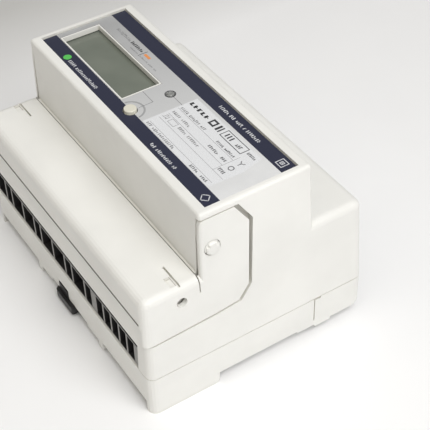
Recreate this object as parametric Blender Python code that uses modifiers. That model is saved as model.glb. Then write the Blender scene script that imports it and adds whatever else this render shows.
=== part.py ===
"""A seven-module electricity meter for a 35 mm rail, lying on its back with its face up.

+X is the meter's right, +Y its top and +Z the way its face looks. The origin is under the middle of
the housing, on the plane of its feet. Lengths below are millimetres; MM turns them into metres.
"""

import math

import bmesh
import bpy
from mathutils import Matrix, Vector

MM = 0.001
GAP = 0.3

# Housing
MODULE = 17.5
WIDTH = 7 * MODULE
HEIGHT = 90.0
DEPTH = 80.0
FOOT = 5.0
PARTING = 18.0
DECK = 54.0
DRAFT = 0.04
WALL = 2.2
HALF_X = WIDTH / 2
HALF_Y = HEIGHT / 2
BLOCK_HALF_Y = 22.9
BLOCK_DRAFT = 0.05
CORNER = 3.0
FRONT_ROUND = 3.2
DECK_ROUND = 2.6
SHELF = 41.0

# Rail
RAIL_WIDTH = 35.0
RAIL_PLAY = 0.2
HOOK_LIP = 1.6
LIP_TOP = 3.6
HOOK_X = 40.0
HOOK_HALF = 8.5
SKIRT = 3.6

# Face
PLATE = (112.3, 35.2, 0.8)
PLATE_TOP = 79.2
POCKET_FLOOR = 78.2
ROOF_UNDER = 77.2
WINDOW_LO = (-53.4, -11.5)
WINDOW_HI = (-7.5, 4.9)
BUTTON_AT = (-0.3, -12.0)
BUTTON_R = 2.3
LAMP_AT = (-0.5, 4.2)
LAMP_R = 1.45
WINDOW_LIP = 0.55

# Terminal cover
COVER_WALL = 1.9
COVER_PROUD = 1.0
HOLLOW_ROUND = 5.1
HINGE_Y = -17.4
HINGE_Z = 64.8
HINGE_R = 2.85
PIN_R = 1.5
SEAL_X = 55.6
SEAL_Y = -30.2
END_SKIN = HALF_X - COVER_WALL
COVER_END = (
    (-46.0, 33.95), (-17.4, 35.2), (-8.4, 36.2), (-4.2, 41.6), (-3.2, 69.2), (-8.6, 77.25),
    (-20.2, 77.25), (-21.2, 76.6), (-21.5, 75.3), (-22.8, 55.0), (-22.8, 48.0), (-46.0, 48.0),
)
RECESS_END = (
    (-47.0, 33.3), (-17.4, 34.35), (-7.3, 35.3), (-3.0, 41.2), (-1.7, 69.6), (-7.0, 77.75),
    (-24.0, 77.75), (-24.0, 60.0), (-47.0, 60.0),
)
SWING_END = (
    (-24.0, 48.0), (-2.7, 48.0), (-1.7, 69.6), (-7.0, 77.75), (-24.0, 77.75),
)
SWING_SKIN = 56.6

# Terminals
PHASE_START = -59.7
PHASE_PITCH = 25.0
MAIN_CELL = 9.7
SMALL_CELL = 5.6
AUX_START = 23.6
AUX_PITCH = 5.5
RIB = 1.0
BLOCK_LO = (-58.2, -42.4, 10.9)
BLOCK_HI = (53.5, -26.0, 38.4)
TERMINAL_WAIST = 32.4
MASK_FRONT = -44.4
MASK_TOP = 28.3
CELL_TOP = 27.6
SCREW_Y = -36.0
SEAT = 34.0

# Boards and the screws that hold the base to the housing
BOARD_TOP = 71.6
MAIN_BOARD_TOP = 34.6
BOARD = 1.6
HOUSING_SCREWS = ((-55.0, -6.0), (55.0, -6.0), (-53.0, 38.0), (53.0, 38.0))

WHITE = (0.80, 0.79, 0.75)
GREY = (0.34, 0.34, 0.36)
BLACK = (0.02, 0.02, 0.022)
NAVY = (0.03, 0.035, 0.09)
SILVER = (0.60, 0.61, 0.63)
LCD = (0.20, 0.23, 0.19)
BRASS = (0.70, 0.52, 0.25)
STEEL = (0.62, 0.63, 0.65)
COPPER = (0.72, 0.38, 0.22)
GREEN = (0.03, 0.16, 0.07)
RED = (0.45, 0.02, 0.02)
CLEAR = (0.42, 0.43, 0.42)

for leftover in list(bpy.data.objects):
    bpy.data.objects.remove(leftover, do_unlink=True)

parts = bpy.data.collections.new("rail_electricity_meter")
helpers = bpy.data.collections.new("cutters")
bpy.context.scene.collection.children.link(parts)
bpy.context.scene.collection.children.link(helpers)
helpers.hide_render = True


# ---------------------------------------------------------------- helpers


def material(name, color, roughness=0.5, metallic=0.0):
    made = bpy.data.materials.new(name)
    made.use_nodes = True
    shader = made.node_tree.nodes["Principled BSDF"]
    shader.inputs["Base Color"].default_value = (*color, 1.0)
    shader.inputs["Roughness"].default_value = roughness
    shader.inputs["Metallic"].default_value = metallic
    return made


def link(name, mesh, look=None):
    """Puts a mesh in the scene: a part when it has a look (color, roughness, metallic), else a cutter."""
    obj = bpy.data.objects.new(name, mesh)
    if look is None:
        helpers.objects.link(obj)
        obj.hide_render = True
        obj.display_type = "WIRE"
    else:
        parts.objects.link(obj)
        mesh.materials.append(material(name, *look))
    return obj


def boxes(name, corners, look=None):
    """One mesh of boxes, each given by its low and high corner."""
    built = bmesh.new()
    for low, high in corners:
        low, high = Vector(low) * MM, Vector(high) * MM
        place = Matrix.Translation((low + high) / 2) @ Matrix.Diagonal((*(high - low), 1))
        bmesh.ops.create_cube(built, size=1, matrix=place)
    mesh = bpy.data.meshes.new(name)
    built.to_mesh(mesh)
    built.free()
    return link(name, mesh, look)


def rods(name, ends, sides=24, look=None):
    """One mesh of round rods, each given by its two end centres and its radius."""
    built = bmesh.new()
    for start, stop, radius in ends:
        start, stop = Vector(start) * MM, Vector(stop) * MM
        along = stop - start
        turn = along.to_track_quat("Z", "Y").to_matrix().to_4x4()
        place = Matrix.Translation((start + stop) / 2) @ turn
        bmesh.ops.create_cone(
            built, cap_ends=True, segments=sides, radius1=radius * MM, radius2=radius * MM,
            depth=along.length, matrix=place,
        )
    mesh = bpy.data.meshes.new(name)
    built.to_mesh(mesh)
    built.free()
    return link(name, mesh, look)


def side_plates(name, outline, inner_x, outer_x):
    """The same (y, z) outline as an upright plate at each end of the meter."""
    built = bmesh.new()
    for side in (-1, 1):
        inner = [built.verts.new((side * inner_x * MM, y * MM, z * MM)) for y, z in outline]
        face = built.faces.new(inner)
        grown = bmesh.ops.extrude_face_region(built, geom=[face])["geom"]
        outer = [item for item in grown if isinstance(item, bmesh.types.BMVert)]
        bmesh.ops.translate(built, verts=outer, vec=(side * (outer_x - inner_x) * MM, 0, 0))
    bmesh.ops.recalc_face_normals(built, faces=built.faces)
    mesh = bpy.data.meshes.new(name)
    built.to_mesh(mesh)
    built.free()
    return link(name, mesh)


def lean(obj, x_draft=DRAFT, y_draft=0.0, start=PARTING):
    """Leans the side walls in with height, as a mould's draft does."""
    for vertex in obj.data.vertices:
        rise = max(0.0, vertex.co.z - start * MM)
        vertex.co.x -= math.copysign(x_draft * rise, vertex.co.x)
        vertex.co.y -= math.copysign(y_draft * rise, vertex.co.y)
    return obj


def soften(obj, width, segments, share):
    """Rounds edges: share takes an edge's middle (mm) and direction, and gives its part of the width."""
    weights = obj.data.attributes.new("bevel_weight_edge", "FLOAT", "EDGE")
    for edge in obj.data.edges:
        a, b = (obj.data.vertices[i].co / MM for i in edge.vertices)
        weights.data[edge.index].value = share((a + b) / 2, (b - a).normalized())
    bevel = obj.modifiers.new("soft_edges", "BEVEL")
    bevel.limit_method = "WEIGHT"
    bevel.width = width * MM
    bevel.segments = segments
    return obj


def combine(obj, other, operation="DIFFERENCE"):
    step = obj.modifiers.new(f"{operation.lower()}_{other.name}", "BOOLEAN")
    step.operation = operation
    step.object = other
    step.solver = "EXACT"
    return obj


def cut(obj, *cutters):
    for cutter in cutters:
        combine(obj, cutter)
    return obj


def smooth(obj, angle=35):
    obj.data.shade_smooth()
    obj.data.set_sharp_from_angle(angle=math.radians(angle))
    return obj


def both_ends(low, high):
    """A box near the right end of the meter, and the same box near its left end."""
    return [(low, high), ((-high[0], *low[1:]), (-low[0], *high[1:]))]


def put_origin(obj, at):
    """Moves the object's origin to a point (mm) and leaves its shape where it is."""
    offset = Vector(at) * MM
    obj.data.transform(Matrix.Translation(-offset))
    obj.location = offset
    return obj


# ---------------------------------------------------------------- outer form


def envelope(name, look=None, proud=0.0):
    """The whole outside above the parting: a wide lower body and the raised block along its middle."""
    lower = boxes(name, [((-HALF_X, -HALF_Y - proud, PARTING), (HALF_X, HALF_Y, DECK))], look)
    lean(lower, DRAFT, DRAFT)

    def lower_share(middle, along):
        if abs(along.z) > 0.9:
            return CORNER / FRONT_ROUND
        if middle.z > DECK - 1:
            front = middle.y < 4 - HALF_Y and abs(along.x) > 0.9
            return 1.0 if front else DECK_ROUND / FRONT_ROUND
        return 0.0

    soften(lower, FRONT_ROUND, 5, lower_share)
    raised = boxes(name + "_block", [
        ((-HALF_X, -BLOCK_HALF_Y, PARTING + 6), (HALF_X, BLOCK_HALF_Y, DEPTH))
    ])
    lean(raised)
    lean(raised, 0, BLOCK_DRAFT, DECK)

    def block_share(middle, along):
        return 1.0 if middle.z > DEPTH - 1 or abs(along.z) > 0.9 else 0.0

    soften(raised, 1.2, 3, block_share)
    return combine(lower, raised, "UNION")


# ---------------------------------------------------------------- base


def base_tray():
    tray = boxes("base_tray", [
        ((-HALF_X, -HALF_Y, FOOT), (HALF_X, HALF_Y, PARTING - GAP / 2))
    ], (WHITE, 0.45))
    soften(tray, CORNER, 4, lambda middle, along: float(abs(along.z) > 0.9))

    slot_rear = RAIL_WIDTH / 2 + RAIL_PLAY
    slot_front = 0.1 - RAIL_WIDTH / 2
    outer_corner = 1 - HALF_Y
    feet = boxes("end_skirts", both_ends((HALF_X - SKIRT, -HALF_Y, 0), (HALF_X, slot_front, 6)))

    def skirt_share(middle, along):
        if middle.z < 1 and middle.y > slot_front - 1:
            return 0.6 if abs(along.x) > 0.9 else 0.0
        outer = middle.y < outer_corner and abs(middle.x) > HALF_X - 1
        return 1.0 if outer and abs(along.z) > 0.9 else 0.0

    soften(feet, CORNER, 4, skirt_share)
    hooks = boxes("rail_hooks", both_ends(
        (HOOK_X - HOOK_HALF, slot_rear, 0), (HOOK_X + HOOK_HALF, 41, 6)))
    lips = boxes("hook_lips", both_ends(
        (HOOK_X - HOOK_HALF, slot_rear - HOOK_LIP, 0), (HOOK_X + HOOK_HALF, slot_rear + 1, LIP_TOP)))
    reliefs = boxes("hook_reliefs", both_ends(
        (HOOK_X - HOOK_HALF - 0.5, slot_rear - HOOK_LIP - 0.3, 4),
        (HOOK_X + HOOK_HALF + 0.5, slot_rear, FOOT + 0.4)))
    rear_skirt = boxes("rear_skirts", both_ends(
        (HALF_X - 2, 16, FOOT - 0.8), (HALF_X, HALF_Y - CORNER, 6)))
    rear_ribs = boxes("rear_ribs", both_ends((HALF_X - 2, 24, 3.1), (HALF_X, 31, 6)))
    front_pads = boxes("front_pads", both_ends((14.2, -HALF_Y + 0.1, 3.3), (26, -41, 6)))
    pad_feet = boxes("pad_feet", both_ends((22.8, -HALF_Y + 0.1, 0.6), (26, -41, 4)))
    pillars = rods("screw_pillars", [
        ((x, y, 6), (x, y, PARTING - 0.5), 3.6) for x, y in HOUSING_SCREWS
    ])
    guides = boxes("latch_guides", both_ends((6.9, -41.5, 0.5), (9.3, -22, 6)))
    guide_lips = boxes("latch_guide_lips", both_ends((5.0, -41.5, 0.5), (8.2, -22, 1.2)))
    post = boxes("spring_post", [((-1.7, -38.0, 1.8), (1.7, -36.2, 6))])
    pocket_walls = boxes("latch_pocket_walls", [((-11, -44, 6), (11, -40.6, 10.5))])

    hollow = boxes("tray_hollow", [
        ((-HALF_X + WALL, -HALF_Y + WALL, FOOT + 2), (HALF_X - WALL, HALF_Y - WALL, PARTING + 2))
    ])
    pocket = boxes("latch_pocket", [((-9, -HALF_Y - 3, 3), (5.4, -42.4, FOOT + 0.2))])
    notch = boxes("latch_notch", [((-7.4, -HALF_Y - 3, 4), (0.2, -42.4, 9.3))])
    bores = rods("screw_bores", [
        ((x, y, 3), (x, y, PARTING + 1), 1.75) for x, y in HOUSING_SCREWS
    ], 16)
    sinks = rods("screw_sinks", [
        ((x, y, -1), (x, y, FOOT + 3.2), 3.1) for x, y in HOUSING_SCREWS
    ], 16)
    end_grooves = boxes("end_grooves", both_ends(
        (HALF_X - 0.5, 23.3, 6.6), (HALF_X + 1, 23.75, PARTING + 1)))
    pry_slots = boxes("pry_slots", both_ends(
        (HALF_X - 1.2, 23.1, PARTING - 0.9), (HALF_X + 1, 26.2, PARTING + 1)))
    cut(tray, hollow, reliefs)
    for piece in (pocket_walls, pillars, feet, hooks, lips, rear_skirt, rear_ribs):
        combine(tray, piece, "UNION")
    for piece in (front_pads, pad_feet, guides, guide_lips, post):
        combine(tray, piece, "UNION")
    return smooth(cut(tray, pocket, notch, bores, sinks, end_grooves, pry_slots))


def housing_screws():
    for x, y in HOUSING_SCREWS:
        place = f"{'front' if y < 0 else 'rear'}_{'left' if x < 0 else 'right'}"
        screw = rods(f"housing_screw_{place}", [
            ((x, y, FOOT + 0.9), (x, y, FOOT + 2.9), 2.8)
        ], 16, (STEEL, 0.3, 1.0))
        shank = rods(f"shank_{place}", [((x, y, FOOT + 2), (x, y, 29), 1.35)], 12)
        cross = boxes(f"cross_{place}", [((x - 1.6, y - 0.3, FOOT), (x + 1.6, y + 0.3, FOOT + 1.9))])
        upright = boxes(f"upright_{place}", [((x - 0.3, y - 1.6, FOOT), (x + 0.3, y + 1.6, FOOT + 1.8))])
        combine(screw, shank, "UNION")
        smooth(cut(screw, cross, upright))


# ---------------------------------------------------------------- upper housing


def terminals():
    """Each terminal as (name, low x, high x, is_main), from the left."""
    found = []
    for phase in range(3):
        start = PHASE_START + phase * PHASE_PITCH
        small = start + MAIN_CELL
        found.append((f"phase_{phase + 1}_in", start, small, True))
        found.append((f"phase_{phase + 1}_voltage", small, small + SMALL_CELL, False))
        found.append((f"phase_{phase + 1}_out", small + SMALL_CELL, start + PHASE_PITCH, True))
    neutral = PHASE_START + 3 * PHASE_PITCH
    found.append(("neutral", neutral, neutral + SMALL_CELL - 0.2, False))
    for number in range(5):
        start = AUX_START + number * AUX_PITCH
        found.append((f"signal_{number + 1}", start, start + AUX_PITCH, False))
    return found


def cell_walls(low, high):
    """The clear width between two ribs: the first cell ends at the block's own end wall."""
    return max(low, BLOCK_LO[0] + 0.5) + RIB / 2, high - RIB / 2


def terminal_middles():
    """Each terminal as (name, middle x, is_main)."""
    return [(name, sum(cell_walls(low, high)) / 2, main) for name, low, high, main in terminals()]


def upper_housing():
    shell = envelope("upper_housing", (WHITE, 0.42))
    beyond_x, beyond_y = HALF_X + 2, HALF_Y + 2
    below = boxes("below_parting", [
        ((-beyond_x, -beyond_y, PARTING - 3), (beyond_x, beyond_y, PARTING + GAP / 2))
    ])
    front = boxes("cover_space", [
        ((-beyond_x, -beyond_y, SHELF), (beyond_x, -BLOCK_HALF_Y, DEPTH + 2))
    ])
    recess = lean(side_plates("cover_recess", RECESS_END, END_SKIN - GAP, HALF_X + 4))
    swing_room = side_plates("swing_room", SWING_END, SWING_SKIN, HALF_X + 4)
    cavity = boxes("lower_cavity", [
        ((-57.5, -HALF_Y + WALL + 0.1, PARTING - 3), (57.5, HALF_Y - WALL - 1.4, SHELF - WALL))
    ])
    block_room = boxes("terminal_block_room", [
        ((-58.7, -HALF_Y + WALL + 0.05, PARTING - 4), (58.7, -24, TERMINAL_WAIST + 0.2))
    ])
    rear_cavity = boxes("rear_cavity", [
        ((-55.3, -20.5, 30), (55.3, HALF_Y - WALL - 1.8, DECK - WALL))
    ])
    block_cavity = boxes("block_cavity", [((-54.4, -19.6, 45), (54.4, 19.6, ROOF_UNDER))])
    mouth = boxes("terminal_mouth", [
        ((-58.8, -beyond_y, PARTING - 3), (53.8, -HALF_Y + WALL + 2, 29.7))
    ])
    pocket_x, pocket_y = PLATE[0] / 2 + GAP, PLATE[1] / 2 + GAP
    pocket = boxes("plate_pocket", [
        ((-pocket_x, -pocket_y, POCKET_FLOOR), (pocket_x, pocket_y, DEPTH + 1))
    ])
    lip = boxes("window_lip", [((*WINDOW_LO, ROOF_UNDER + 0.2), (*WINDOW_HI, PLATE_TOP))])
    window = boxes("display_window", [(
        (WINDOW_LO[0] + WINDOW_LIP, WINDOW_LO[1] + WINDOW_LIP, ROOF_UNDER - 1),
        (WINDOW_HI[0] - WINDOW_LIP, WINDOW_HI[1] - WINDOW_LIP, DEPTH + 1),
    )])
    face_holes = rods("face_holes", [
        ((*BUTTON_AT, ROOF_UNDER - 1), (*BUTTON_AT, DEPTH + 1), BUTTON_R + 0.35),
        ((*LAMP_AT, ROOF_UNDER - 1), (*LAMP_AT, DEPTH + 1), LAMP_R + 0.3),
    ], 32)
    driver_holes = rods("driver_holes", [
        ((middle, SCREW_Y, SHELF - 4), (middle, SCREW_Y, SHELF + 1), 3.3 if main else 2.1)
        for _, middle, main in terminal_middles()
    ], 16)
    pin_holes = rods("pin_holes", hinge_line(PIN_R + 0.25), 16)
    bosses = rods("screw_bosses", [
        ((x, y, PARTING + GAP / 2), (x, y, (SHELF if y < 0 else DECK) - 1), 2.8)
        for x, y in HOUSING_SCREWS
    ], 16)
    pilots = rods("screw_pilots", [
        ((x, y, PARTING - 1), (x, y, 32), 1.6) for x, y in HOUSING_SCREWS
    ], 12)
    lugs = boxes("seal_lugs", both_ends(
        (SEAL_X - 2, SEAL_Y - 2.2, SHELF - 1), (SEAL_X + 2, SEAL_Y, 51.6)))
    lug_feet = boxes("seal_lug_feet", both_ends(
        (SEAL_X - 1.6, SEAL_Y - 2.6, SHELF - 1), (SEAL_X + 1.6, SEAL_Y + 2.6, 48.2)))
    lug_holes = rods("seal_wire_holes", [
        ((s * 48, SEAL_Y - 1.1, 49.6), (s * 62, SEAL_Y - 1.1, 49.6), 0.8) for s in (-1, 1)
    ], 12)
    cut(shell, below, front, recess, swing_room, cavity, block_room, rear_cavity, block_cavity)
    for piece in (bosses, lugs, lug_feet):
        combine(shell, piece, "UNION")
    cut(shell, mouth, pocket)
    combine(shell, lip, "UNION")
    return smooth(cut(shell, window, face_holes, driver_holes, pin_holes, pilots, lug_holes))


# ---------------------------------------------------------------- terminal cover


def hinge_line(radius):
    """A rod through each end wall, on the cover's hinge axis."""
    return [
        ((side * 50, HINGE_Y, HINGE_Z), (side * 64, HINGE_Y, HINGE_Z), radius) for side in (-1, 1)
    ]


def terminal_cover():
    cover = envelope("terminal_cover", (WHITE, 0.42), COVER_PROUD)
    keep = boxes("cover_keep", [(
        (-HALF_X - 2, -HALF_Y - 2, SHELF + GAP),
        (HALF_X + 2, -BLOCK_HALF_Y - GAP, DECK + 4),
    )])
    ends = lean(side_plates("cover_ends", COVER_END, END_SKIN, HALF_X + 4))
    combine(keep, ends, "UNION")
    combine(cover, keep, "INTERSECT")
    hollow = lean(boxes("cover_hollow", [(
        (-END_SKIN, -HALF_Y + COVER_WALL, PARTING), (END_SKIN, -BLOCK_HALF_Y + 4, DECK - COVER_WALL)
    )]), DRAFT, DRAFT)
    soften(hollow, HOLLOW_ROUND, 5, lambda middle, along: float(
        middle.z > DECK - 4 and middle.y < 6 - HALF_Y and abs(along.x) > 0.9))
    slots = boxes("snap_slots", both_ends(
        (SEAL_X - 7.2, SEAL_Y - 0.1, DECK - 4), (SEAL_X + 3.2, SEAL_Y + 0.7, DECK + 1)))
    windows = boxes("seal_windows", both_ends(
        (SEAL_X - 2.3, SEAL_Y - 2.5, DECK - 4), (SEAL_X + 2.3, SEAL_Y + 0.3, DECK + 1)))
    eyes = rods("seal_eyes", [
        ((s * 50, SEAL_Y + 0.2, 47.3), (s * 64, SEAL_Y + 0.2, 47.3), 2.0) for s in (-1, 1)
    ], 20)
    pin_holes = rods("cover_pin_holes", hinge_line(HINGE_R + 0.2), 32)
    cut(cover, hollow, slots, windows, eyes, pin_holes)
    return smooth(put_origin(cover, (0, HINGE_Y, HINGE_Z)))


def hinge_pins():
    face = HALF_X - DRAFT * (HINGE_Z - PARTING)
    head_in = face - COVER_WALL + 0.1
    for side, s in (("left", -1), ("right", 1)):
        pin = rods(f"cover_hinge_pin_{side}", [
            ((s * head_in, HINGE_Y, HINGE_Z), (s * (face - 0.05), HINGE_Y, HINGE_Z), HINGE_R)
        ], 32, (WHITE, 0.4))
        shank = rods(f"pin_shank_{side}", [
            ((s * (head_in - 4), HINGE_Y, HINGE_Z), (s * (head_in + 0.5), HINGE_Y, HINGE_Z), PIN_R)
        ], 16)
        notches = boxes(f"pin_notches_{side}", [
            ((s * face - 0.6, low, -0.35), (s * face + 0.6, low + 2.1, 0.35)) for low in (-4.0, 1.9)
        ])
        tilt = Matrix.Rotation(math.radians(30), 4, "X")
        notches.data.transform(Matrix.Translation((0, HINGE_Y * MM, HINGE_Z * MM)) @ tilt)
        combine(pin, shank, "UNION")
        smooth(cut(pin, notches))


# ---------------------------------------------------------------- face


def face_plate():
    half_x, half_y = PLATE[0] / 2, PLATE[1] / 2
    plate = boxes("face_plate", [
        ((-half_x, -half_y, PLATE_TOP - PLATE[2]), (half_x, half_y, PLATE_TOP))
    ], (SILVER, 0.35))
    edge = GAP / 2
    window = boxes("plate_window", [(
        (WINDOW_LO[0] - edge, WINDOW_LO[1] - edge, 70), (WINDOW_HI[0] + edge, WINDOW_HI[1] + edge, 90)
    )])
    holes = rods("plate_holes", [
        ((*BUTTON_AT, 70), (*BUTTON_AT, 90), BUTTON_R + 0.35),
        ((*LAMP_AT, 70), (*LAMP_AT, 90), LAMP_R + 0.2),
    ], 32)
    return smooth(cut(plate, window, holes))


def display():
    smooth(boxes("display_board", [
        ((-53.5, -18.8, BOARD_TOP - BOARD), (53.5, 18.8, BOARD_TOP))
    ], (GREEN, 0.4)))
    smooth(boxes("lcd_glass", [((-54.0, -12.6, 74.1), (-6.4, 6.0, ROOF_UNDER - GAP))], (LCD, 0.15)))
    carrier = boxes("lcd_carrier", [((-54.0, -12.6, BOARD_TOP + GAP), (-6.4, 6.0, 73.8))], (GREY, 0.6))
    opening = boxes("carrier_opening", [((-51, -9.5, 70), (-9.5, 3.0, 76))])
    smooth(cut(carrier, opening))
    x, y = LAMP_AT
    smooth(rods("pulse_light_pipe", [
        ((x, y, BOARD_TOP + GAP), (x, y, PLATE_TOP + 0.05), LAMP_R)
    ], 24, (CLEAR, 0.15)))


def push_button():
    x, y = BUTTON_AT
    button = rods("push_button", [((x, y, 75.6), (x, y, DEPTH + 0.35), BUTTON_R)], 32, (WHITE, 0.4))
    soften(button, 0.35, 3, lambda middle, along: float(middle.z > DEPTH))
    flange = rods("button_flange", [((x, y, 75.5), (x, y, ROOF_UNDER - GAP), BUTTON_R + 1.1)], 32)
    combine(button, flange, "UNION")
    smooth(put_origin(button, (x, y, 75.5)))
    switch = boxes("button_switch", [((x - 3, y - 3, BOARD_TOP + GAP), (x + 3, y + 3, 74.0))], (BLACK, 0.5))
    plunger = rods("switch_plunger", [((x, y, 73.5), (x, y, 74.7), 1.6)], 16)
    smooth(combine(switch, plunger, "UNION"))


# ---------------------------------------------------------------- terminals


def terminal_block():
    block = boxes("terminal_block", [(BLOCK_LO, (*BLOCK_HI[:2], TERMINAL_WAIST))], (GREY, 0.55))
    upper = boxes("block_upper", [((-57.2, BLOCK_LO[1], TERMINAL_WAIST - 1), BLOCK_HI)])
    mask = boxes("front_mask", [
        ((BLOCK_LO[0], MASK_FRONT, PARTING + 0.2), (BLOCK_HI[0], BLOCK_LO[1] + 1, MASK_TOP))
    ])
    widths = [cell_walls(low, high) for _, low, high, _ in terminals()]
    mouths = boxes("cell_mouths", [
        ((left, MASK_FRONT - 1, PARTING + 0.45), (right, BLOCK_LO[1] + 2, CELL_TOP)) for left, right in widths
    ])
    rooms = boxes("cell_rooms", [
        ((left, BLOCK_LO[1] + 1.6, 14.0), (right, -29.5, 33.0)) for left, right in widths
    ])
    wells = rods("screw_wells", [
        ((middle, SCREW_Y, 32), (middle, SCREW_Y, 40), 3.0 if main else 2.05)
        for _, middle, main in terminal_middles()
    ], 16)
    slots = boxes("busbar_slots", [
        ((middle - 2.3, -30.5, 21.9), (middle + 2.3, -25, 24.2))
        for _, middle, main in terminal_middles() if main
    ])
    combine(block, upper, "UNION")
    combine(block, mask, "UNION")
    return smooth(cut(block, mouths, rooms, wells, slots))


def clamp(name, middle, main):
    """A rising cage: its window takes the wire, and the screw pulls it up to the busbar."""
    half, wall, thread_r = (3.2, 1.1, 2.25) if main else (1.95, 0.65, 1.35)
    cage = boxes(name, [((middle - half, -40.0, 15.2), (middle + half, -31.5, 26.4))], (BRASS, 0.35, 1.0))
    inside = half - wall
    window = boxes(name + "_window", [((middle - inside, -42, 16.8), (middle + inside, -30, 24.4))])
    thread = rods(name + "_thread", [((middle, SCREW_Y, 23), (middle, SCREW_Y, 28), thread_r)], 16)
    smooth(cut(cage, window, thread))


def terminal_screw(name, middle, main):
    head_r, shank_r = (2.7, 1.85) if main else (1.8, 1.1)
    screw = rods(name, [
        ((middle, SCREW_Y, SEAT), (middle, SCREW_Y, SEAT + 3.2), head_r)
    ], 16, (STEEL, 0.3, 1.0))
    shank = rods(name + "_shank", [((middle, SCREW_Y, 24.2), (middle, SCREW_Y, SEAT + 0.5), shank_r)], 12)
    slot = boxes(name + "_slot", [
        ((middle - 4, SCREW_Y - 0.45, SEAT + 2), (middle + 4, SCREW_Y + 0.45, SEAT + 4))
    ])
    combine(screw, shank, "UNION")
    smooth(put_origin(cut(screw, slot), (middle, SCREW_Y, SEAT)))


# ---------------------------------------------------------------- inside


def along_x(middle, half, radius):
    """A rod through a point, half its length to each side in X."""
    x, y, z = middle
    return [((x - half, y, z), (x + half, y, z), radius)]


def current_path():
    middles = {name: middle for name, middle, _ in terminal_middles()}
    for phase in (1, 2, 3):
        left, right = middles[f"phase_{phase}_in"], middles[f"phase_{phase}_out"]
        bar = boxes(f"phase_{phase}_busbar", [
            ((left - 1.8, -38.5, 22.4), (left + 1.8, -11, 23.8))
        ], (COPPER, 0.3, 1.0))
        leg = boxes(f"busbar_leg_{phase}", [((right - 1.8, -38.5, 22.4), (right + 1.8, -11, 23.8))])
        cross = boxes(f"busbar_cross_{phase}", [((left - 1, -14.5, 22.4), (right + 1, -11, 23.8))])
        combine(bar, leg, "UNION")
        smooth(combine(bar, cross, "UNION"))
        middle = ((left + right) / 2, -12.75, 23.1)
        ring = rods(f"current_transformer_{phase}", along_x(middle, 3.0, 8.6), 28, (NAVY, 0.4))
        smooth(cut(ring, rods(f"transformer_hole_{phase}", along_x(middle, 6.0, 3.4), 20)))


def electronics():
    smooth(boxes("main_board", [
        ((-47, -19.5, MAIN_BOARD_TOP - BOARD), (47, 40.0, MAIN_BOARD_TOP))
    ], (GREEN, 0.4)))
    on = MAIN_BOARD_TOP + GAP
    smooth(boxes("supply_transformer", [((16, 20, on), (40, 38, 49))], (NAVY, 0.5)))
    smooth(boxes("suppressor_capacitor", [((-40, 28, on), (-22, 36, 47))], (RED, 0.45)))
    smooth(rods("smoothing_capacitor", [((4, 29, on), (4, 29, 49), 6.3)], 24, (BLACK, 0.4)))
    smooth(boxes("board_connector", [
        ((-12, 12.5, on), (12, 15.5, BOARD_TOP - BOARD - GAP))
    ], (BLACK, 0.5)))


# ---------------------------------------------------------------- rail latch


def rail_latch():
    tip = HOOK_LIP - RAIL_WIDTH / 2
    latch = boxes("rail_latch", [((-6.4, -44.0, 1.5), (6.4, tip, 4.6))], (BLACK, 0.45))
    ramp = boxes("latch_ramp", [((-8, tip - 2.2, LIP_TOP), (8, tip + 1, 6))])
    head = boxes("latch_head", [((-8.6, -HALF_Y - 1.6, 1.5), (5.0, -42.9, FOOT - 0.1))])
    soften(head, 1.8, 3, lambda middle, along: (
        (1.0 if middle.x < 0 else 0.5) if abs(along.z) > 0.9 and middle.y < -HALF_Y else 0.0))
    step = boxes("latch_step", [((-7.0, -HALF_Y - 0.2, 4), (-0.2, -43.4, 8.6))])
    window = boxes("latch_window", [((-2.3, -42.3, 0), (2.3, -27.2, 8))])
    shoulders = boxes("latch_shoulders", both_ends((4.4, -22.0, 0), (9, -10, 8)))
    combine(latch, head, "UNION")
    combine(latch, step, "UNION")
    smooth(put_origin(cut(latch, ramp, window, shoulders), (0, -HALF_Y, 3.0)))


def latch_spring():
    """A compression spring between the base's post and the end of the latch's window."""
    turns, steps, radius, start, length = 7, 9, 1.15, -35.6, 8.1
    points = []
    for number in range(turns * steps + 1):
        angle = 2 * math.pi * number / steps
        along = start + length * number / (turns * steps)
        points.append((radius * math.cos(angle), along, 3.05 + radius * math.sin(angle)))
    curve = bpy.data.curves.new("latch_spring", "CURVE")
    curve.dimensions = "3D"
    curve.bevel_depth = 0.28 * MM
    curve.bevel_resolution = 1
    curve.use_fill_caps = True
    wire = curve.splines.new("POLY")
    wire.points.add(len(points) - 1)
    for spot, point in zip(wire.points, points):
        spot.co = (*(Vector(point) * MM), 1)
    curve.materials.append(material("latch_spring", STEEL, 0.3, 1.0))
    parts.objects.link(bpy.data.objects.new("latch_spring", curve))


base_tray()
housing_screws()
upper_housing()
terminal_cover()
hinge_pins()
face_plate()
display()
push_button()
terminal_block()
for name, middle, main in terminal_middles():
    clamp(name + "_clamp", middle, main)
    terminal_screw(name + "_screw", middle, main)
current_path()
electronics()
rail_latch()
latch_spring()
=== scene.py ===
"""The looks of the rail-mounted electricity meter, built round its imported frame.

Every length in this file is in metres once it is multiplied by MM, in the frame's own axes: +X is the
meter's right, +Y its top and +Z out of its face.
"""
import math
import random

import bmesh
import bpy
from mathutils import Matrix, Vector


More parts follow.
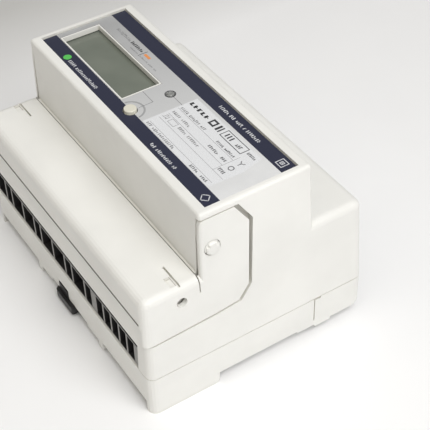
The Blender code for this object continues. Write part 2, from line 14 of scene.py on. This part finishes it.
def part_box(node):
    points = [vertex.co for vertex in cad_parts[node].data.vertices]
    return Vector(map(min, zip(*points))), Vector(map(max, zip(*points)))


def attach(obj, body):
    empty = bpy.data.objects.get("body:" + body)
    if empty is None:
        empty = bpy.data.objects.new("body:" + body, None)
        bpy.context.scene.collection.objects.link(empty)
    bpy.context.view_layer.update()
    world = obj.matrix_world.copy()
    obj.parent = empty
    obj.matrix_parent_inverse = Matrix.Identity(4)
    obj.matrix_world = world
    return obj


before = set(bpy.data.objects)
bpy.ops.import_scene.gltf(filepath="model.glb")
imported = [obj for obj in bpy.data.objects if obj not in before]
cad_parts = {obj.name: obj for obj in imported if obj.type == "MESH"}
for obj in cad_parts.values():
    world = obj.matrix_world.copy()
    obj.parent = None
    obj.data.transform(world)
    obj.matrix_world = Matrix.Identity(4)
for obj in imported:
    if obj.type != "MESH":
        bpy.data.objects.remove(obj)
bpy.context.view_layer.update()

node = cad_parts
MM = 0.001

# ---------------------------------------------------------------- camera, light and floor

CAMERA_AT = (0.27992, -0.15195, 0.31732)
AZIMUTH, ELEVATION, ROLL = 58.36, 42.72, -1.88
LENS = 95.49

scene = bpy.context.scene
scene.view_settings.view_transform = "Standard"

camera = bpy.data.objects.new("camera", bpy.data.cameras.new("camera"))
scene.collection.objects.link(camera)
camera.data.lens = LENS
camera.data.sensor_width = 36.0
camera.data.clip_start = 0.01
turn = Matrix.Rotation(math.radians(AZIMUTH), 4, "Z")
tilt = Matrix.Rotation(math.radians(90 - ELEVATION), 4, "X")
roll = Matrix.Rotation(math.radians(ROLL), 4, "Z")
camera.matrix_world = Matrix.Translation(CAMERA_AT) @ turn @ tilt @ roll
scene.camera = camera


def area_light(name, at, target, size, power, color):
    lamp = bpy.data.lights.new(name, "AREA")
    lamp.shape = "DISK"
    lamp.size = size
    lamp.energy = power
    lamp.color = color
    obj = bpy.data.objects.new(name, lamp)
    scene.collection.objects.link(obj)
    obj.location = at
    obj.rotation_mode = "QUATERNION"
    obj.rotation_quaternion = (Vector(target) - Vector(at)).to_track_quat("-Z", "Y")


LIT_POINT = (0, 0, 0.04)
area_light("key_light", (0.66, 0.05, 0.92), LIT_POINT, 0.8, 8.6, (1.0, 0.998, 0.99))
area_light("top_light", (0.30, -0.40, 0.95), LIT_POINT, 0.9, 2.1, (1.0, 0.985, 0.95))

# The sky's strength from the horizon up, and its tint towards the side that the meter's front faces.
SKY_LOW = 0.22
SKY_HIGH = 0.42
SKY_TOP = 0.9
WARM_FULL = -0.9
WARM_NONE = 0.1
SKY_WARM = (1.0, 0.92, 0.77, 1.0)
SKY_NEUTRAL = (1.0, 1.0, 1.0, 1.0)


def sky_range(tree, value, limits):
    """The value's range, given by the first two limits, taken to the range of the last two."""
    made = tree.nodes.new("ShaderNodeMapRange")
    for number, limit in enumerate(limits, start=1):
        made.inputs[number].default_value = limit
    tree.links.new(value, made.inputs[0])
    return made.outputs[0]


def studio_sky():
    world = bpy.data.worlds.new("studio")
    scene.world = world
    world.use_nodes = True
    tree = world.node_tree
    background = tree.nodes["Background"]
    way = tree.nodes.new("ShaderNodeTexCoord")
    split = tree.nodes.new("ShaderNodeSeparateXYZ")
    tree.links.new(way.outputs["Generated"], split.inputs[0])
    tint = tree.nodes.new("ShaderNodeMix")
    tint.data_type = "RGBA"
    tint.inputs[6].default_value = SKY_NEUTRAL
    tint.inputs[7].default_value = SKY_WARM
    toward_front = sky_range(tree, split.outputs["Y"], (WARM_FULL, WARM_NONE, 1.0, 0.0))
    tree.links.new(toward_front, tint.inputs[0])
    tree.links.new(tint.outputs[2], background.inputs["Color"])
    height = sky_range(tree, split.outputs["Z"], (0.0, SKY_TOP, SKY_LOW, SKY_HIGH))
    tree.links.new(height, background.inputs["Strength"])


studio_sky()

# ---------------------------------------------------------------- material nodes


class Look:
    """A procedural material on a Principled shader, with short calls for the nodes it needs."""

    def __init__(self, name, roughness=0.45, metallic=0.0):
        self.material = bpy.data.materials.new(name)
        self.material.use_nodes = True
        self.tree = self.material.node_tree
        self.shader = self.tree.nodes["Principled BSDF"]
        self.shader.inputs["Roughness"].default_value = roughness
        self.shader.inputs["Metallic"].default_value = metallic
        self.place = self.add("ShaderNodeTexCoord").outputs["Object"]

    def add(self, kind, inputs=(), **settings):
        made = self.tree.nodes.new(kind)
        for key, value in settings.items():
            setattr(made, key, value)
        for key, value in dict(inputs).items():
            self.plug(made.inputs[key], value)
        return made

    def plug(self, socket, value):
        if isinstance(value, bpy.types.NodeSocket):
            self.tree.links.new(socket, value)
        else:
            socket.default_value = value

    def noise(self, size_mm, detail=2.0, stretch=None):
        """Noise whose features are about size_mm wide."""
        place = self.place
        if stretch:
            place = self.add("ShaderNodeMapping", {"Vector": place, "Scale": stretch}).outputs[0]
        made = self.add("ShaderNodeTexNoise", {
            "Vector": place, "Scale": 1.0 / (size_mm * MM), "Detail": detail, "Roughness": 0.55})
        return made.outputs["Fac"]

    def math(self, operation, first, second):
        return self.add("ShaderNodeMath", {0: first, 1: second}, operation=operation).outputs[0]

    def spread(self, value, low, high, to_low=0.0, to_high=1.0):
        """The value's range low to high, taken to another range and held inside it."""
        return self.add("ShaderNodeMapRange", {
            0: value, 1: low, 2: high, 3: to_low, 4: to_high}).outputs[0]

    def mix(self, share, first, second):
        made = self.add("ShaderNodeMix", data_type="RGBA")
        self.plug(made.inputs[0], share)
        self.plug(made.inputs[6], (*first, 1.0) if isinstance(first, tuple) else first)
        self.plug(made.inputs[7], (*second, 1.0) if isinstance(second, tuple) else second)
        return made.outputs[2]

    def axis(self, letter):
        """One coordinate of the place on the object, in millimetres."""
        split = self.add("ShaderNodeSeparateXYZ", {0: self.place})
        return self.math("MULTIPLY", split.outputs[letter], 1 / MM)

    def color(self, value):
        self.plug(self.shader.inputs["Base Color"], value)
        return self

    def rough(self, value):
        self.plug(self.shader.inputs["Roughness"], value)
        return self

    def bump(self, height, depth_mm, strength=1.0):
        made = self.add("ShaderNodeBump", {
            "Height": height, "Distance": depth_mm * MM, "Strength": strength})
        self.plug(self.shader.inputs["Normal"], made.outputs[0])
        return self


def scaled(color, factor):
    return tuple(channel * factor for channel in color)


def moulded(name, color, roughness, grain_mm=0.22, corner_grime_and_shade=0.0):
    """Injection-moulded plastic: fine grain, slow changes of tint, and if asked painted shade in its
    corners, creases and seams, tinted a little warm like grime.
    """
    look = Look(name, roughness)
    slow = look.noise(28.0, 3.0)
    tinted = look.mix(look.spread(slow, 0.35, 0.65), scaled(color, 0.965), scaled(color, 1.02))
    speck = look.spread(look.noise(0.5, 4.0), 0.66, 0.78, 0.0, 0.10)
    tinted = look.mix(speck, tinted, scaled(color, 0.72))
    if corner_grime_and_shade:
        # Painted shade: ambient occlusion darkens corners, creases and seams where shade falls, with a
        # slight warm grime tint.
        near = look.add("ShaderNodeAmbientOcclusion", {"Distance": 2.0 * MM}, samples=6)
        open_share = look.spread(near.outputs["AO"], 0.35, 0.95, 1.0 - corner_grime_and_shade, 1.0)
        tinted = look.mix(open_share, scaled((color[0], color[1] * 0.97, color[2] * 0.88), 0.72), tinted)
    look.color(tinted)
    look.rough(look.spread(look.noise(3.0, 3.0), 0.3, 0.7, roughness - 0.05, roughness + 0.06))
    grain = look.noise(grain_mm, 2.0)
    return look.bump(grain, 0.006, 0.6)


WHITE = (0.81, 0.805, 0.775)
housing_look = moulded("housing_plastic", WHITE, 0.46, corner_grime_and_shade=0.5)
pin_look = moulded("pin_plastic", WHITE, 0.38, grain_mm=0.6)
button_look = moulded("button_plastic", (0.72, 0.70, 0.60), 0.36, grain_mm=0.4)
latch_look = moulded("latch_plastic", (0.012, 0.011, 0.012), 0.4)
dark_look = moulded("dark_part_plastic", (0.02, 0.02, 0.022), 0.5)
blue_look = moulded("blue_case", (0.03, 0.05, 0.14), 0.42)
red_look = moulded("red_case", (0.42, 0.05, 0.03), 0.4)
carrier_look = moulded("carrier_plastic", (0.30, 0.30, 0.31), 0.55)


def block_look():
    """Near-black terminal block whose front faces are painted light grey as a highlight, with a strip
    along their top left dark as painted shadow.
    """
    look = Look("terminal_block_plastic", 0.5)
    # Painted highlight on the front faces below z 28.2 mm; above that the dark strip is painted shadow
    # under the opening's top edge.
    front = look.spread(look.axis("Y"), -44.30, -44.36)
    front = look.math("MULTIPLY", front, look.spread(look.axis("Z"), 28.2, 28.3, 1.0, 0.0))
    dark = look.mix(look.spread(look.noise(6.0), 0.3, 0.7), (0.012, 0.011, 0.012), (0.02, 0.019, 0.02))
    painted_highlight_grey = look.mix(look.spread(look.noise(2.0), 0.3, 0.7), (0.24, 0.235, 0.23), (0.30, 0.295, 0.285))
    look.color(look.mix(front, dark, painted_highlight_grey))
    return look.bump(look.noise(0.25), 0.006, 0.6)


def metal(name, color, roughness, stretch=(1.0, 1.0, 1.0)):
    """Bare metal with fine lines, drawn out where the stretch is small."""
    look = Look(name, roughness, 1.0)
    lines = look.noise(0.25, 3.0, stretch=stretch)
    look.color(look.mix(look.spread(lines, 0.3, 0.7), scaled(color, 0.82), scaled(color, 1.05)))
    look.rough(look.spread(look.noise(1.5, 3.0), 0.3, 0.7, roughness - 0.07, roughness + 0.1))
    return look.bump(lines, 0.003, 0.5)


steel_look = metal("zinc_plated_steel", (0.62, 0.62, 0.60), 0.32)
brass_look = metal("machined_brass", (0.70, 0.52, 0.25), 0.34, stretch=(1.0, 1.0, 0.15))
copper_look = metal("copper_strip", (0.72, 0.36, 0.21), 0.3, stretch=(1.0, 0.1, 1.0))


def board_look():
    """Circuit board: solder mask over a pattern of tracks."""
    look = Look("board_laminate", 0.35)
    cells = look.add("ShaderNodeTexVoronoi", {"Vector": look.place, "Scale": 420.0},
                     distance="CHEBYCHEV", feature="DISTANCE_TO_EDGE")
    track = look.spread(cells.outputs["Distance"], 0.10, 0.14)
    look.color(look.mix(track, (0.012, 0.085, 0.035), (0.02, 0.15, 0.06)))
    return look.bump(track, 0.03, 0.4)


def film_look():
    """Satin silver film with a fine speckle, and a painted reflection that makes it brighter towards the
    meter's right.
    """
    look = Look("face_film", 0.38, 0.3)
    fleck = look.noise(0.16, 2.0)
    cloud = look.noise(9.0, 2.0)
    # Painted reflection: the film's tone is mixed from darker at the left to brighter at the right.
    painted_reflection_share = look.spread(look.axis("X"), -52.0, 56.0)
    film_without_reflection = look.mix(look.spread(fleck, 0.3, 0.7), (0.42, 0.425, 0.43), (0.50, 0.505, 0.51))
    film_with_painted_reflection = look.mix(look.spread(fleck, 0.3, 0.7), (0.84, 0.845, 0.85), (0.93, 0.935, 0.94))
    ground = look.mix(painted_reflection_share, film_without_reflection, film_with_painted_reflection)
    look.color(look.mix(look.spread(cloud, 0.35, 0.65, 0.0, 0.18), ground, (0.66, 0.665, 0.67)))
    return look.bump(fleck, 0.004, 0.5)


def ink(name, color, roughness=0.45):
    """Printed ink: a slightly uneven layer with pinholes."""
    look = Look(name, roughness)
    uneven = look.noise(0.3, 3.0)
    look.color(look.mix(look.spread(uneven, 0.35, 0.7), scaled(color, 0.88), scaled(color, 1.08)))
    return look.bump(uneven, 0.002, 0.5)


navy_ink = ink("navy_ink", (0.020, 0.023, 0.050), 0.42)
white_ink = ink("white_ink", (0.74, 0.75, 0.77))
pale_ink = ink("pale_ink", (0.62, 0.63, 0.66))
grey_ink = ink("grey_ink", (0.19, 0.19, 0.20))
black_ink = ink("black_ink", (0.045, 0.045, 0.05))
line_ink = ink("line_ink", (0.33, 0.33, 0.34))
# Grey ink for painted shade round the button's dimple.
dimple_shade_ink = ink("dimple_shade_ink", (0.36, 0.365, 0.37))
green_ink = ink("green_ink", (0.10, 0.55, 0.10))
orange_ink = ink("orange_ink", (0.80, 0.30, 0.10))


def lcd_look():
    """Reflective display glass: grey-green, with painted shade darkening it towards its left and rear
    edges, under the walls of its recess.
    """
    look = Look("display_glass", 0.16)
    cloud = look.noise(16.0, 2.0)
    ground = look.mix(look.spread(cloud, 0.35, 0.65), (0.145, 0.163, 0.132), (0.172, 0.190, 0.155))
    # Painted shade from the recess walls: darker bands along the glass's left and rear edges.
    left = look.spread(look.axis("X"), -52.8, -49.6, 0.55, 0.0)
    rear_wall_shade = look.spread(look.axis("Y"), 2.6, 4.4, 0.0, 0.35)
    look.color(look.mix(look.math("ADD", left, rear_wall_shade), ground, (0.075, 0.085, 0.075)))
    look.bump(look.noise(0.12), 0.0015, 0.4)
    look.shader.inputs["Coat Weight"].default_value = 0.5
    look.shader.inputs["Coat Roughness"].default_value = 0.08
    return look


def lens_look():
    """Water-clear lamp body, smoky where it is deep."""
    look = Look("lamp_lens", 0.12)
    smoke = look.spread(look.noise(0.7), 0.3, 0.7)
    look.color(look.mix(smoke, (0.16, 0.165, 0.16), (0.34, 0.345, 0.335)))
    look.shader.inputs["Coat Weight"].default_value = 1.0
    look.shader.inputs["Coat Roughness"].default_value = 0.05
    return look.bump(look.noise(0.9), 0.01, 0.3)


def dress(names, look):
    for name in names:
        node[name].data.materials.clear()
        node[name].data.materials.append(look.material)


dress(["base_tray", "upper_housing", "terminal_cover"], housing_look)
dress(["cover_hinge_pin_left", "cover_hinge_pin_right"], pin_look)
dress(["push_button"], button_look)
dress(["rail_latch"], latch_look)
dress(["button_switch", "board_connector", "smoothing_capacitor"], dark_look)
dress(["supply_transformer"] + [name for name in node if name.startswith("current_tr")], blue_look)
dress(["suppressor_capacitor"], red_look)
dress(["lcd_carrier"], carrier_look)
dress(["terminal_block"], block_look())
dress([name for name in node if name.endswith("_clamp")], brass_look)
dress([name for name in node if name.endswith("_busbar")], copper_look)
dress([name for name in node if "screw" in name] + ["latch_spring"], steel_look)
dress(["main_board", "display_board"], board_look())
dress(["face_plate"], film_look())
dress(["lcd_glass"], lcd_look())
dress(["pulse_light_pipe"], lens_look())

# ---------------------------------------------------------------- shapes


def finish_piece(name, built, look, body):
    bmesh.ops.recalc_face_normals(built, faces=built.faces)
    mesh = bpy.data.meshes.new(name)
    built.to_mesh(mesh)
    built.free()
    mesh.materials.append(look.material)
    piece = bpy.data.objects.new(name, mesh)
    scene.collection.objects.link(piece)
    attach(piece, body)
    return piece


def add_prism(built, outline, low, high):
    """A flat shape given by its (x, y) outline, from height low to high."""
    bottom = [built.verts.new((x * MM, y * MM, low * MM)) for x, y in outline]
    top = [built.verts.new((x * MM, y * MM, high * MM)) for x, y in outline]
    built.faces.new(list(reversed(bottom)))
    built.faces.new(top)
    for index in range(len(outline)):
        after = (index + 1) % len(outline)
        built.faces.new((bottom[index], bottom[after], top[after], top[index]))


def rectangle(x0, y0, x1, y1):
    return [(x0, y0), (x1, y0), (x1, y1), (x0, y1)]


def arc(x, y, radius, start, stop, steps):
    return [
        (x + radius * math.cos(math.radians(start + (stop - start) * step / steps)),
         y + radius * math.sin(math.radians(start + (stop - start) * step / steps)))
        for step in range(steps + 1)
    ]


def stroke(points, width):
    """Rectangles along a line of points, each run to half a width past its ends."""
    found = []
    for (ax, ay), (bx, by) in zip(points, points[1:]):
        along = Vector((bx - ax, by - ay)).normalized() * width / 2
        side = Vector((-along.y, along.x))
        a, b = Vector((ax, ay)) - along, Vector((bx, by)) + along
        found.append([tuple(a - side), tuple(b - side), tuple(b + side), tuple(a + side)])
    return found


def frame_of(x0, y0, x1, y1, width):
    return [
        rectangle(x0, y0, x1, y0 + width),
        rectangle(x0, y1 - width, x1, y1),
        rectangle(x0, y0 + width, x0 + width, y1 - width),
        rectangle(x1 - width, y0 + width, x1, y1 - width),
    ]


def ring_of(x, y, inner, outer, steps):
    """A ring as short wedges, so that each is a convex flat shape."""
    found = []
    for step in range(steps):
        start, stop = 360 * step / steps, 360 * (step + 1) / steps
        found.append(arc(x, y, outer, start, stop, 1) + arc(x, y, inner, stop, start, 1))
    return found


def tick_row(x0, x1, y0, height, ticks, rng, words=3):
    """A line of short upright marks in groups, standing for a line of print."""
    step = (x1 - x0) / ticks
    breaks = set(rng.sample(range(3, ticks - 2), words - 1)) if words > 1 else set()
    found = []
    for number in range(ticks):
        if number in breaks:
            continue
        left = x0 + number * step
        tall = height * rng.choice((1.0, 1.0, 0.72))
        found.append(rectangle(left, y0, left + step * rng.uniform(0.42, 0.6), y0 + tall))
        if rng.random() < 0.6:
            level = y0 + rng.choice((0.0, 0.4, 0.8)) * tall
            found.append(rectangle(left, level, left + step * 0.85, level + 0.2 * height))
    return found


def middle_of(name):
    """The middle of a CAD node's box, in millimetres."""
    low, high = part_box(name)
    return (low + high) / 2 / MM


high_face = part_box("face_plate")[1]
FACE_TOP = high_face.z / MM
BAND_OUT = high_face.y / MM
BAND_IN = 11.76
BAND_X = high_face.x / MM
BUTTON_AT = tuple(middle_of("push_button").xy)
LAMP_AT = tuple(middle_of("pulse_light_pipe").xy)
HOLE_R = 2.65
LAYER = 0.03
LIFT = 0.005


def face_print(name, shapes, look, layer=1):
    """Flat ink on the face: layer 1 lies on the film, and each next one on the last."""
    built = bmesh.new()
    low = FACE_TOP + (LIFT if layer == 1 else (layer - 1) * LAYER)
    for outline in shapes:
        add_prism(built, outline, low, FACE_TOP + layer * LAYER)
    finish_piece(name, built, look, "housing")


def front_band():
    """The front band, with a round bite where the button comes through its inner edge."""
    x, y = BUTTON_AT
    reach = math.degrees(math.asin((-BAND_IN - y) / HOLE_R))
    bite = arc(x, y, HOLE_R, reach, -180 - reach, 24)
    return [
        (-BAND_X, -BAND_IN), (-BAND_X, -BAND_OUT), (BAND_X, -BAND_OUT), (BAND_X, -BAND_IN), *bite,
    ]


rng = random.Random(7)
face_print("navy_bands", [
    rectangle(-BAND_X, BAND_IN, BAND_X, BAND_OUT), front_band(),
], navy_ink)
face_print("label_ground", [[
    (7.1, -11.4), (48.1, -11.4), (48.5, 1.5), (46.2, 10.5), (7.1, 10.5),
]], white_ink)

# Lines and marks on the label
RULE = 0.13
label_lines = []
for y, x0, x1 in ((2.35, 8.0, 41.5), (-1.9, 8.4, 41.8), (-5.6, 8.4, 47.8), (-9.35, 8.4, 47.2)):
    label_lines += stroke([(x0, y), (x1, y)], RULE)
label_lines += stroke([(41.9, 5.0), (41.9, -5.6)], RULE)
face_print("label_rules", label_lines, line_ink, 2)

BOLD_LEFT = 8.0
BOLD_STEP = 2.25
bold = []
for number, level in enumerate((6.7, 7.4, 8.0, 6.7, 7.35)):
    left = BOLD_LEFT + BOLD_STEP * number
    bold.append(rectangle(left, 6.7, left + 1.0, 8.35))
    bold.append(rectangle(left, level, left + 1.7, level + 0.35))
bold += frame_of(20.3, 6.2, 23.4, 9.3, 0.75)
bold += [rectangle(24.5, 6.2, 25.5, 9.3), rectangle(26.1, 6.2, 26.7, 9.3)]
bold += frame_of(28.0, 5.9, 40.5, 9.9, 0.28)
bold += [rectangle(x, 6.9, x + 0.6, 9.0) for x in (29.6, 31.0, 32.4)]
face_print("label_bold", bold, black_ink, 2)

fine = tick_row(41.5, 46.0, 7.8, 1.1, 6, rng, 1)
fine += tick_row(35.8, 38.6, 7.0, 1.5, 3, rng, 1)
fine += tick_row(30.6, 40.9, 2.9, 1.05, 13, rng, 2)
fine += tick_row(30.8, 41.2, -0.55, 1.1, 11, rng, 3)
fine += tick_row(35.9, 46.0, -10.9, 1.1, 11, rng, 3)
fine += tick_row(42.5, 45.9, -4.3, 1.3, 4, rng, 1)
fine += ring_of(44.8, -0.4, 0.75, 1.15, 20)
fine += stroke([(44.8, 2.2), (44.8, 3.4)], 0.32) + stroke([(44.8, 3.4), (43.8, 4.3)], 0.32)
fine += stroke([(44.85, 3.45), (45.8, 4.3)], 0.32)
face_print("label_fine", fine, grey_ink, 2)

faint = tick_row(8.4, 23.5, 2.85, 1.05, 17, rng, 3)
faint += tick_row(8.5, 19.0, -0.6, 1.1, 11, rng, 2)
faint += tick_row(17.2, 29.5, -3.8, 1.1, 13, rng, 2)
faint += tick_row(8.5, 25.8, -11.0, 1.1, 18, rng, 2)
faint += stroke([
    (8.4, -4.3), (9.1, -4.3), (9.1, -2.6), (9.9, -2.6), (9.9, -4.3), (10.7, -4.3), (10.7, -2.6),
], 0.2)
faint += frame_of(12.0, -4.7, 15.8, -2.3, 0.18)
face_print("label_faint", faint, line_ink, 2)

on_band = tick_row(15.2, 39.2, 13.95, 1.35, 26, rng, 5)
on_band += tick_row(19.2, 35.0, -15.85, 1.3, 17, rng, 3)
on_band += tick_row(-38.6, -18.0, -16.1, 1.4, 22, rng, 2)
on_band += frame_of(50.2, 12.9, 53.7, 16.4, 0.32) + frame_of(51.2, 13.9, 52.7, 15.4, 0.3)
on_band += [[(52.4, 14.65), (51.95, 14.93), (51.5, 14.65), (51.95, 14.37)]]
on_band += stroke([(50.2, -14.9), (52.0, -13.1), (53.8, -14.9), (52.0, -16.7), (50.2, -14.9)], 0.3)
face_print("band_print", on_band, pale_ink, 2)

face_print("green_mark", [arc(-41.0, -15.0, 1.55, 0, 345, 23)], green_ink, 2)
face_print("orange_mark", [rectangle(-26.4, 8.5, -22.8, 9.6)], orange_ink)
title = tick_row(-36.0, -28.0, 8.5, 1.35, 8, rng, 1)
title += stroke([(-27.2, 6.7), (-27.2, 10.6)], 0.22)
face_print("title_bold", title, black_ink)
title = tick_row(-46.6, -36.6, 8.5, 1.25, 11, rng, 1)
title += tick_row(-33.3, -27.9, 6.75, 0.55, 9, rng, 1)
title += tick_row(-26.5, -15.0, 6.75, 0.6, 19, rng, 3)
face_print("title_fine", title, line_ink)

button_x, button_y = BUTTON_AT
lamp_x, lamp_y = LAMP_AT
callouts = stroke([(-7.3, -2.95), (-0.1, -3.1), (0.0, -8.6)], 0.16)
callouts += stroke([(lamp_x + 2.1, lamp_y + 0.1), (7.2, 4.25)], 0.16)
face_print("callout_lines", callouts, grey_ink)
# Painted shade: a grey ring on the film stands for the shading of a shallow dimple round the button,
# which is not modelled.
dimple = ring_of(button_x, button_y, 4.6, 5.3, 48)
face_print("button_dimple_shade", [
    wedge for wedge in dimple if min(y for _, y in wedge) > -BAND_IN
], dimple_shade_ink)
# Black ring round the lamp: partly a dark rim, partly painted shade in the gap round the light pipe.
face_print("lamp_ring_and_gap_shade", ring_of(lamp_x, lamp_y, 1.7, 2.05, 40), black_ink)


def lamp_lens():
    """A shallow dome that closes the lamp's light pipe."""
    built = bmesh.new()
    bmesh.ops.create_uvsphere(built, u_segments=32, v_segments=16, radius=1.4 * MM)
    bmesh.ops.transform(built, verts=built.verts, matrix=Matrix.Diagonal((1, 1, 0.38, 1)))
    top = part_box("pulse_light_pipe")[1].z / MM
    bmesh.ops.translate(built, verts=built.verts, vec=Vector((lamp_x, lamp_y, top - 0.1)) * MM)
    piece = finish_piece("lamp_lens", built, lens_look(), "housing")
    piece.data.shade_smooth()


lamp_lens()


# The knob's rims, each as how far it stands out of the pin's head and its radius.
KNOB_RIMS = ((-0.2, 2.55), (0.55, 2.5), (0.85, 2.3), (0.98, 1.9))
KNOB_SIDES = 60
NOTCHES = (40, 140)
NOTCH_HALF = 12
NOTCH_SHARE = 0.72


def hinge_knob(name, side):
    """A low knob on the hinge pin's head, with two notches in its upper rim."""
    middle = middle_of(f"cover_hinge_pin_{name}")
    low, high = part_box(f"cover_hinge_pin_{name}")
    face = max(abs(low.x), abs(high.x)) / MM
    built = bmesh.new()
    rings = []
    for out, radius in KNOB_RIMS:
        ring = []
        for step in range(KNOB_SIDES):
            angle = 360 / KNOB_SIDES * step
            notched = min(abs(angle - notch) for notch in NOTCHES) < NOTCH_HALF
            reach = radius * (NOTCH_SHARE if notched else 1.0)
            y = middle.y + reach * math.cos(math.radians(angle))
            z = middle.z + reach * math.sin(math.radians(angle))
            ring.append(built.verts.new((side * (face + out) * MM, y * MM, z * MM)))
        rings.append(ring)
    for ring, after in zip(rings, rings[1:]):
        for step in range(KNOB_SIDES):
            follow = (step + 1) % KNOB_SIDES
            built.faces.new((ring[step], ring[follow], after[follow], after[step]))
    built.faces.new(rings[0])
    built.faces.new(rings[-1])
    finish_piece(f"hinge_knob_{name}", built, pin_look, "housing")


hinge_knob("left", -1)
hinge_knob("right", 1)


# The snap arm's bar and its seal tab on the right, each as x0, x1, y0, y1 and top.
SNAP_PARTS = ((48.5, 58.7, -30.2, -29.6, 53.0), (53.4, 57.8, -32.6, -30.3, 52.8))
SNAP_FOOT = 52.0


def snap_tongue(name, side):
    """The snap arm that shows through the cover's slot and its seal window."""
    built = bmesh.new()
    for x0, x1, y0, y1, top in SNAP_PARTS:
        x0, x1 = sorted((side * x0, side * x1))
        add_prism(built, rectangle(x0, y0, x1, y1), SNAP_FOOT, top)
    finish_piece(f"snap_tongue_{name}", built, housing_look, "cover")


COVER_FOOT = 41.3
COVER_DRAFT = 0.04
COVER_CORNER = 3.4
GROOVE_LOW = 42.65
GROOVE_HIGH = 43.35
GROOVE_PROUD = 0.02
GROOVE_DEPTH = 0.25
# Dark olive for painted shadow: the groove strip stands for the shade under the cover's lip.
groove_shadow_look = moulded("groove_painted_shadow", (0.07, 0.066, 0.05), 0.6)


def cover_groove_shadow():
    """A dark strip in the groove along the cover's front, just above its lower edge, as painted shadow
    under the cover's lip.
    """
    low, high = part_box("terminal_cover")
    front = low.y / MM
    ends = high.x / MM - COVER_CORNER
    section = [
        (front + inward + COVER_DRAFT * (z - COVER_FOOT), z)
        for z, inward in (
            (GROOVE_LOW, -GROOVE_PROUD), (GROOVE_LOW, GROOVE_DEPTH),
            (GROOVE_HIGH, GROOVE_DEPTH), (GROOVE_HIGH, -GROOVE_PROUD))
    ]
    built = bmesh.new()
    left, right = (
        [built.verts.new((x * MM, y * MM, z * MM)) for y, z in section] for x in (-ends, ends))
    for index in range(len(section)):
        after = (index + 1) % len(section)
        built.faces.new((left[index], left[after], right[after], right[index]))
    built.faces.new(left)
    built.faces.new(right)
    finish_piece("cover_groove_shadow", built, groove_shadow_look, "cover")


cover_groove_shadow()
snap_tongue("left", -1)
snap_tongue("right", 1)

# ---------------------------------------------------------------- floor


def floor_look():
    look = Look("studio_floor", 0.75)
    cloud = look.noise(60.0, 2.0)
    near = look.mix(look.spread(cloud, 0.3, 0.7), (0.88, 0.88, 0.885), (0.90, 0.90, 0.905))
    shaded_floor_tone = look.mix(look.spread(cloud, 0.3, 0.7), (0.57, 0.565, 0.55), (0.59, 0.585, 0.57))
    # Painted light falloff: the floor goes from its lit tone near the meter to a darker shaded tone
    # towards -X.
    look.color(look.mix(look.spread(look.axis("X"), -205.0, -125.0), shaded_floor_tone, near))
    return look


FLOOR_REACH = 6.0
floor = bpy.data.meshes.new("floor")
floor_corners = [(x * FLOOR_REACH, y * FLOOR_REACH, 0) for x, y in rectangle(-1, -1, 1, 1)]
floor.from_pydata(floor_corners, [], [(0, 1, 2, 3)])
floor.materials.append(floor_look().material)
ground = bpy.data.objects.new("floor", floor)
scene.collection.objects.link(ground)
